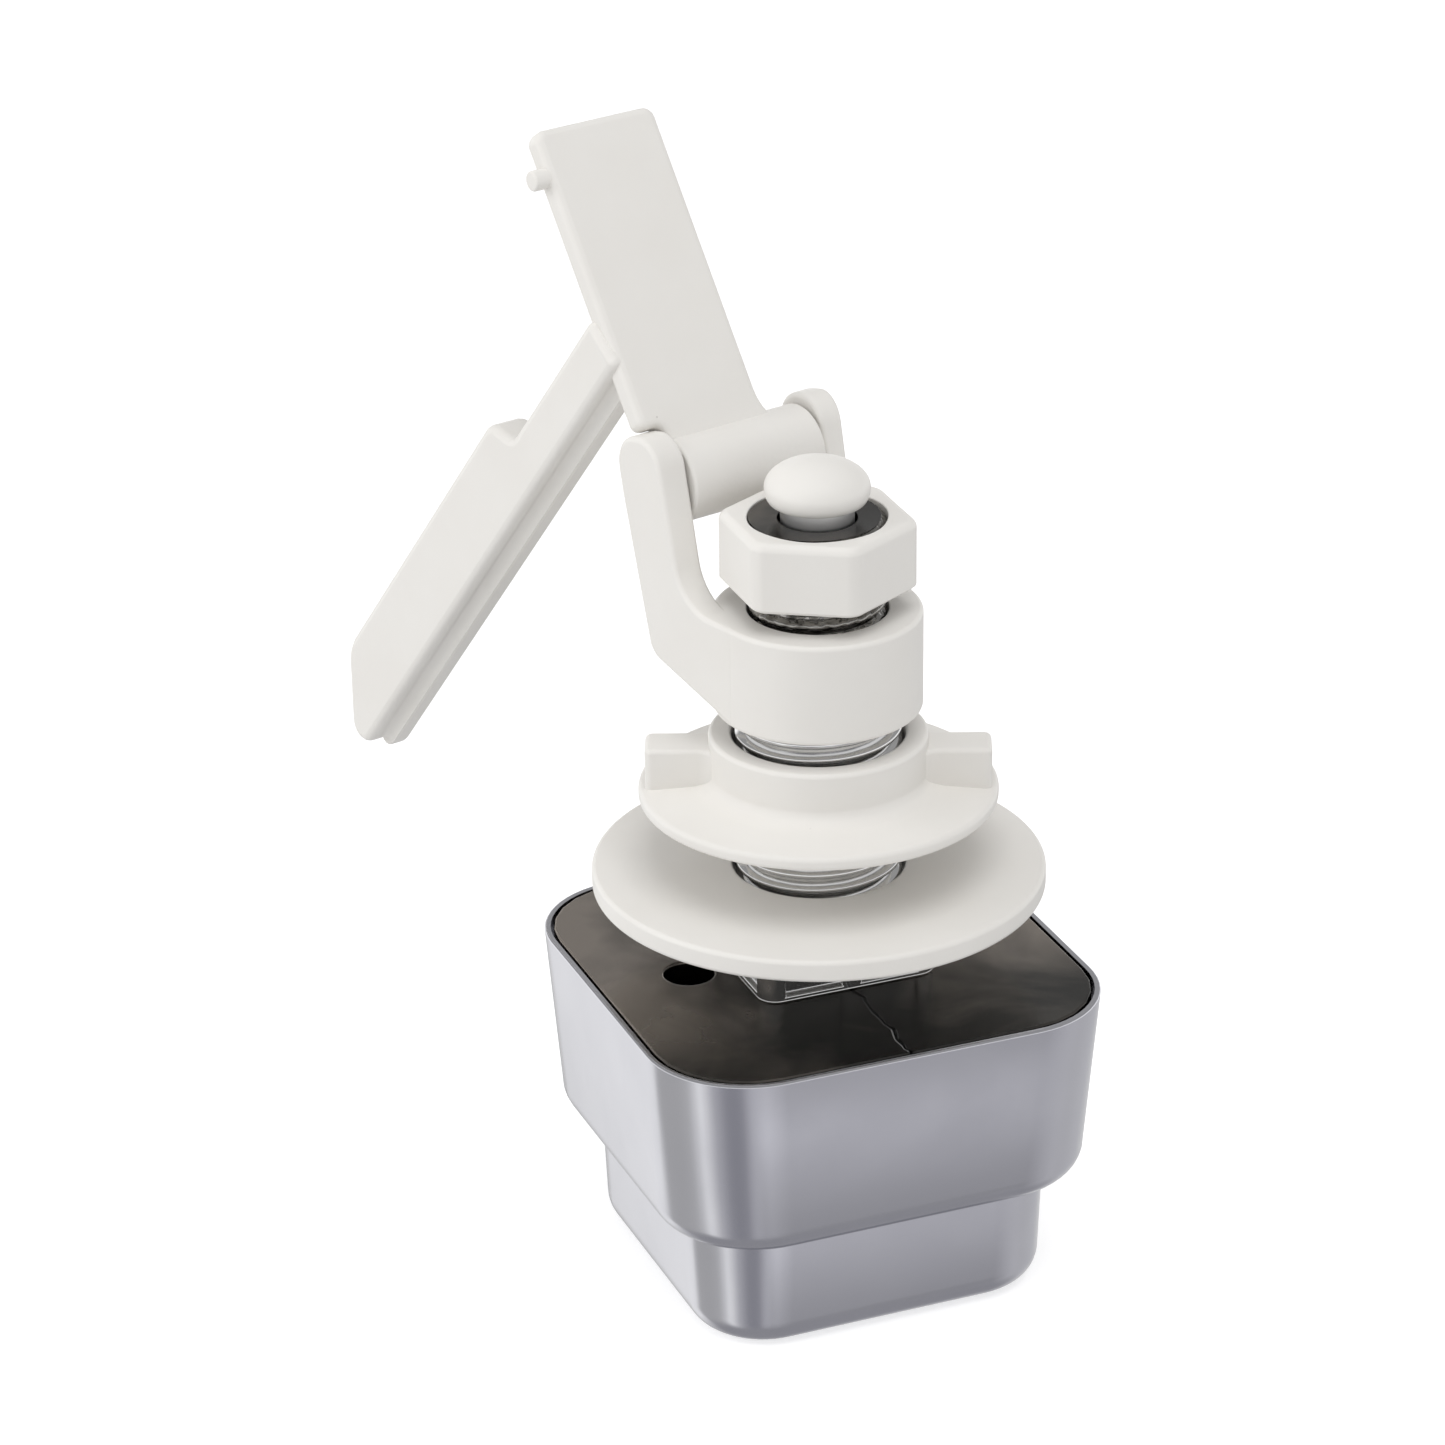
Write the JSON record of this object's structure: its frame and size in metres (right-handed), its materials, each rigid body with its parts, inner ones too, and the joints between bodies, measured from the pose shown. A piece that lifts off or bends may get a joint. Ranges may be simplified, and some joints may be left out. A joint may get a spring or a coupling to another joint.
{
  "type": "toilet tank flush push button",
  "caption": "Square plated press button on a hollow threaded shank with washer, wing nut and a hinged bell-crank lever that lifts the flush chain of a toilet tank.",
  "frame": {"origin": "centre of the button's flat front face, on the shank's axis, where the part stands on a table", "axes": "+Z runs along the shank from the button to the lever, X and Y run along the sides of the square housing"},
  "size_m": [0.0492, 0.0877, 0.1088],
  "materials": {
    "satin_chrome": "satin chrome plating on plastic",
    "dark_chrome": "glossy chrome plating that reads near black",
    "button_chrome": "satin chrome plating on plastic",
    "rod_chrome": "bright chrome plating on a plastic rod",
    "spring_steel": "drawn spring wire",
    "white_plastic": "plain moulded white plastic"
  },
  "bodies": {
    "base": {"housing": "satin_chrome", "threaded_shank": "dark_chrome", "flat_washer": "white_plastic", "return_spring": "spring_steel"},
    "button": {"push_button": "button_chrome", "push_rod": "rod_chrome", "rod_head": "white_plastic"},
    "wing_nut": {"mounting_nut": "white_plastic"},
    "bracket": {"lever_bracket": "white_plastic"},
    "hex_nut": {"lock_nut": "white_plastic"},
    "crank": {"lever": "white_plastic"}
  },
  "joints": [
    {"name": "button_press", "type": "slide", "parent": "base", "child": "button", "axis": [0, 0, 1], "range_m": [0, 0.005], "stiffness_N_per_m": 800, "springref_m": -0.006, "deforming": ["return_spring"]},
    {"name": "bracket_swivel", "type": "hinge", "parent": "base", "child": "bracket", "pos_m": [0, 0, 0.0634], "axis": [0, 0, 1], "continuous": true},
    {"name": "lever_swing", "type": "hinge", "parent": "bracket", "child": "crank", "pos_m": [-0.00336, 0.01328, 0.0784], "axis": [0.9694, 0.2453, 0], "range_deg": [0, 70]},
    {"name": "wing_nut_travel", "type": "slide", "parent": "base", "child": "wing_nut", "axis": [0, 0, 1], "range_m": [-0.0066, 0.0021]},
    {"name": "hex_nut_travel", "type": "slide", "parent": "base", "child": "hex_nut", "axis": [0, 0, 1], "range_m": [-0.002, 0]}
  ]
}
